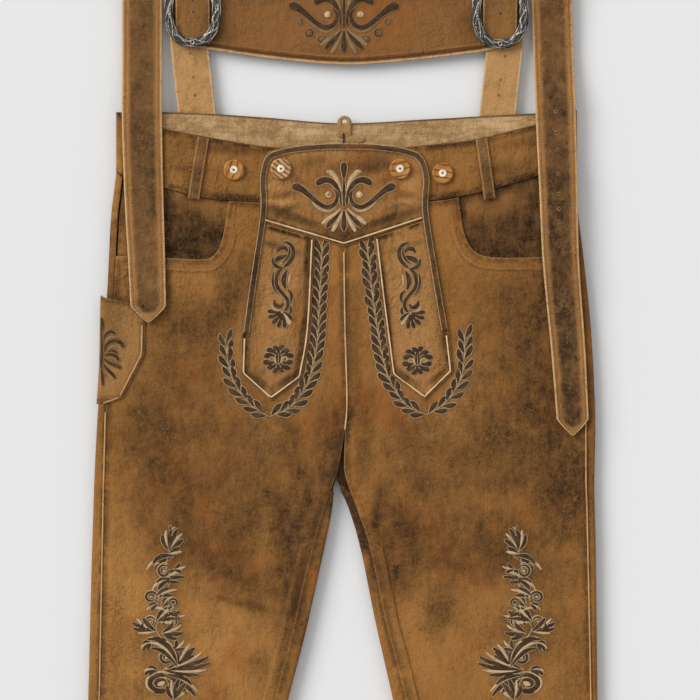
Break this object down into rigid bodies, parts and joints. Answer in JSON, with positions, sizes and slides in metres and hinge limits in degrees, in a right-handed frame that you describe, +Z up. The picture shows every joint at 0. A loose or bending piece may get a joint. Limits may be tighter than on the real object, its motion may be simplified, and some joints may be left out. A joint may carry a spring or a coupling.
{
  "type": "lederhosen",
  "caption": "Knee-length leather breeches with a buttoned drop flap, piped seams and bib suspenders, laid flat with the front up.",
  "frame": {"origin": "bottom centre of the garment's bounding box, on the surface that it lies on", "axes": "+X across the garment towards its left side as worn, +Y up the garment from the hems to the folded suspenders, +Z up from the surface"},
  "size_m": [0.516, 1.146, 0.0155],
  "materials": {
    "tan_leather": "worn suede with dark patina",
    "strap_leather": "worn suede, darker down the middle",
    "dark_leather": "matte dark suede",
    "pale_piping": "matte pale piping",
    "horn": "polished amber horn",
    "antique_silver": "antique silver with dark recesses",
    "thread": "matte embroidery thread"
  },
  "bodies": {
    "root": {"back_panel_left": "tan_leather", "back_panel_right": "tan_leather", "front_panel_left": "tan_leather", "front_panel_right": "tan_leather", "waistband_back": "tan_leather", "waistband_front_left": "tan_leather", "waistband_front_right": "tan_leather", "belt_loop_left": "tan_leather", "belt_loop_right": "tan_leather", "flap_top": "tan_leather", "flap_tongue_left": "tan_leather", "flap_tongue_right": "tan_leather", "side_pocket": "tan_leather", "hanger_loop": "tan_leather", "bib": "tan_leather", "shoulder_strap_left": "strap_leather", "shoulder_strap_right": "strap_leather", "bib_tab_left": "strap_leather", "bib_tab_right": "strap_leather", "pocket_facing_left": "dark_leather", "pocket_facing_right": "dark_leather", "flap_binding": "dark_leather", "flap_piping": "pale_piping", "tongue_piping_left": "pale_piping", "tongue_piping_right": "pale_piping", "centre_piping": "pale_piping", "side_piping_left": "pale_piping", "side_piping_right": "pale_piping", "side_pocket_piping": "pale_piping", "button_outer_left": "horn", "button_inner_left": "horn", "button_inner_right": "horn", "button_outer_right": "horn", "buckle_left": "antique_silver", "buckle_right": "antique_silver"}
  },
  "joints": []
}
